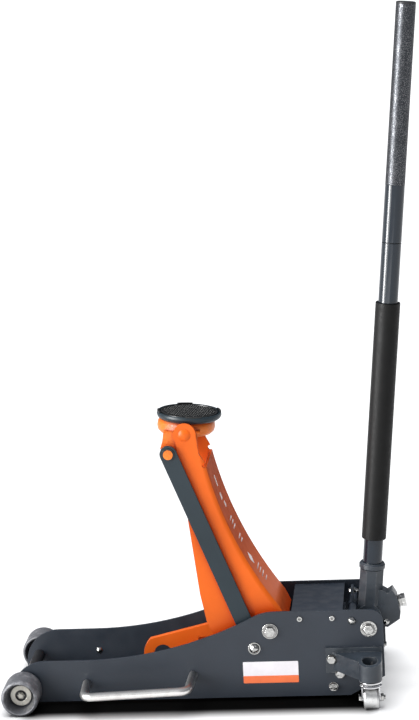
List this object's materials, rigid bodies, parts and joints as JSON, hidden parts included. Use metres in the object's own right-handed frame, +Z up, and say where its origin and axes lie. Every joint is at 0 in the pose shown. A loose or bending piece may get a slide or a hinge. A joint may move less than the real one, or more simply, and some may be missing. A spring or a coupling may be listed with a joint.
{
  "type": "hydraulic trolley jack",
  "caption": "Low-profile hydraulic floor jack with side-plate frame, raised lift arm and round saddle, front rollers, rear swivel casters and an upright two-piece pump handle.",
  "frame": {"origin": "centre of the bounding box on the floor, with the lift arm raised and the handle upright", "axes": "+X from the front rollers towards the handle, +Y from the near side plate to the far one, +Z up"},
  "size_m": [0.7658, 0.34, 1.2005],
  "materials": {
    "bare_steel": "ground steel",
    "casting": "charcoal painted casting",
    "chrome_steel": "bright chrome",
    "foam": "matt black foam sleeve",
    "frame_paint": "semi-gloss charcoal powder coat",
    "handle_paint": "gloss slate powder coat",
    "label": "blank two-tone sticker",
    "link_paint": "satin slate paint",
    "orange_paint": "gloss orange enamel",
    "plastic": "black moulded cap",
    "rubber_black": "matt black rubber",
    "spring_steel": "oiled spring steel",
    "wheel_iron": "worn grey paint on cast iron",
    "zinc": "bright zinc plate"
  },
  "bodies": {
    "frame": {"axle_fittings": "zinc", "carry_handle_far": "chrome_steel", "carry_handle_near": "chrome_steel", "caster_bracket_far": "casting", "caster_bracket_near": "casting", "caster_kingpins": "zinc", "caster_races": "chrome_steel", "cover_plate": "frame_paint", "cross_channel": "frame_paint", "frame_bolts": "zinc", "front_axle": "bare_steel", "handle_shaft": "bare_steel", "label_plates": "label", "link_pin_fittings": "zinc", "link_pins": "bare_steel", "main_shaft": "bare_steel", "plate_screws": "zinc", "plunger_spring": "spring_steel", "pump_body": "frame_paint", "ram_cylinder": "frame_paint", "rear_tie_rod": "frame_paint", "return_spring_far": "spring_steel", "return_spring_near": "spring_steel", "shaft_bolts": "zinc", "side_plate_far": "frame_paint", "side_plate_near": "frame_paint", "stop_bolt": "zinc", "stop_post": "frame_paint"},
    "lift_arm": {"lift_arm": "orange_paint", "arm_pins": "orange_paint"},
    "link_bars": {"link_bar_near": "link_paint", "link_bar_far": "link_paint"},
    "saddle_bracket": {"saddle_bracket": "orange_paint", "trunnion_clips": "link_paint"},
    "saddle": {"saddle_dish": "link_paint", "saddle_pad": "rubber_black"},
    "ram": {"piston_rod": "chrome_steel", "yoke_tongue": "orange_paint", "yoke_plate_near": "orange_paint", "yoke_plate_far": "orange_paint"},
    "front_wheel_near": {"front_wheel_near": "wheel_iron"},
    "front_wheel_far": {"front_wheel_far": "wheel_iron"},
    "caster_near": {"caster_fork_near": "chrome_steel", "caster_axle_near": "zinc"},
    "caster_far": {"caster_fork_far": "chrome_steel", "caster_axle_far": "zinc"},
    "caster_wheel_near": {"caster_wheel_near": "bare_steel"},
    "caster_wheel_far": {"caster_wheel_far": "bare_steel"},
    "handle_socket": {"handle_socket": "casting", "heel_bolts": "zinc", "cam_roller": "bare_steel"},
    "handle": {"handle_lower_tube": "handle_paint", "handle_upper_tube": "handle_paint", "handle_grip": "handle_paint", "handle_sleeve": "foam", "handle_joiner": "bare_steel", "handle_cap": "plastic"},
    "pump_plunger": {"pump_plunger": "chrome_steel"},
    "release_valve": {"release_valve": "bare_steel"}
  },
  "joints": [
    {"name": "lift_arm_hinge", "type": "hinge", "parent": "frame", "child": "lift_arm", "pos_m": [0.0905, 0, 0.127], "axis": [0, -1, 0], "range_deg": [0, 81]},
    {"name": "link_bar_hinge", "type": "hinge", "parent": "frame", "child": "link_bars", "pos_m": [0.0615, 0, 0.096], "axis": [0, -1, 0], "range_deg": [-1, 82]},
    {"name": "saddle_bracket_hinge", "type": "hinge", "parent": "lift_arm", "child": "saddle_bracket", "pos_m": [-0.04284, 0, 0.47803], "axis": [0, -1, 0], "range_deg": [-82, 1]},
    {"name": "saddle_swivel", "type": "hinge", "parent": "saddle_bracket", "child": "saddle", "pos_m": [-0.03963, 0, 0.49332], "axis": [0.0785, 0, 0.9969], "continuous": true},
    {"name": "ram_slide", "type": "slide", "parent": "frame", "child": "ram", "axis": [1, 0, 0], "range_m": [-0.001, 0.0855], "deforming": ["return_spring_near", "return_spring_far"]},
    {"name": "front_wheel_near_spin", "type": "hinge", "parent": "frame", "child": "front_wheel_near", "pos_m": [-0.35, -0.1235, 0.033], "axis": [0, 1, 0], "continuous": true},
    {"name": "front_wheel_far_spin", "type": "hinge", "parent": "frame", "child": "front_wheel_far", "pos_m": [-0.35, 0.1235, 0.033], "axis": [0, 1, 0], "continuous": true},
    {"name": "caster_near_swivel", "type": "hinge", "parent": "frame", "child": "caster_near", "pos_m": [0.264, -0.15, 0.048], "axis": [0, 0, 1], "continuous": true},
    {"name": "caster_wheel_near_spin", "type": "hinge", "parent": "caster_near", "child": "caster_wheel_near", "pos_m": [0.264, -0.141, 0.0195], "axis": [1, 0, 0], "continuous": true},
    {"name": "caster_far_swivel", "type": "hinge", "parent": "frame", "child": "caster_far", "pos_m": [0.264, 0.15, 0.048], "axis": [0, 0, 1], "continuous": true},
    {"name": "caster_wheel_far_spin", "type": "hinge", "parent": "caster_far", "child": "caster_wheel_far", "pos_m": [0.264, 0.141, 0.0195], "axis": [1, 0, 0], "continuous": true},
    {"name": "handle_pump", "type": "hinge", "parent": "frame", "child": "handle_socket", "pos_m": [0.2626, 0, 0.127], "axis": [0, 1, 0], "range_deg": [0, 62]},
    {"name": "handle_twist", "type": "hinge", "parent": "handle_socket", "child": "handle", "pos_m": [0.2626, 0, 0.127], "axis": [0.096, 0, 0.9954], "range_deg": [0, 180]},
    {"name": "release_valve_turn", "type": "hinge", "parent": "frame", "child": "release_valve", "pos_m": [0.225, 0.026, 0.062], "axis": [1, 0, 0], "range_deg": [-1, 181]},
    {"name": "plunger_slide", "type": "slide", "parent": "frame", "child": "pump_plunger", "axis": [-1, 0, 0], "range_m": [-0.0003, 0.021], "deforming": ["plunger_spring"]}
  ],
  "couplings": [
    {"joint": "link_bar_hinge", "follows": "lift_arm_hinge", "ratio": 1},
    {"joint": "saddle_bracket_hinge", "follows": "lift_arm_hinge", "ratio": -1},
    {"joint": "ram_slide", "follows": "lift_arm_hinge", "m_per_rad": 0.059721},
    {"joint": "release_valve_turn", "follows": "handle_twist", "ratio": 1},
    {"joint": "plunger_slide", "follows": "handle_pump", "m_per_rad": 0.019}
  ]
}
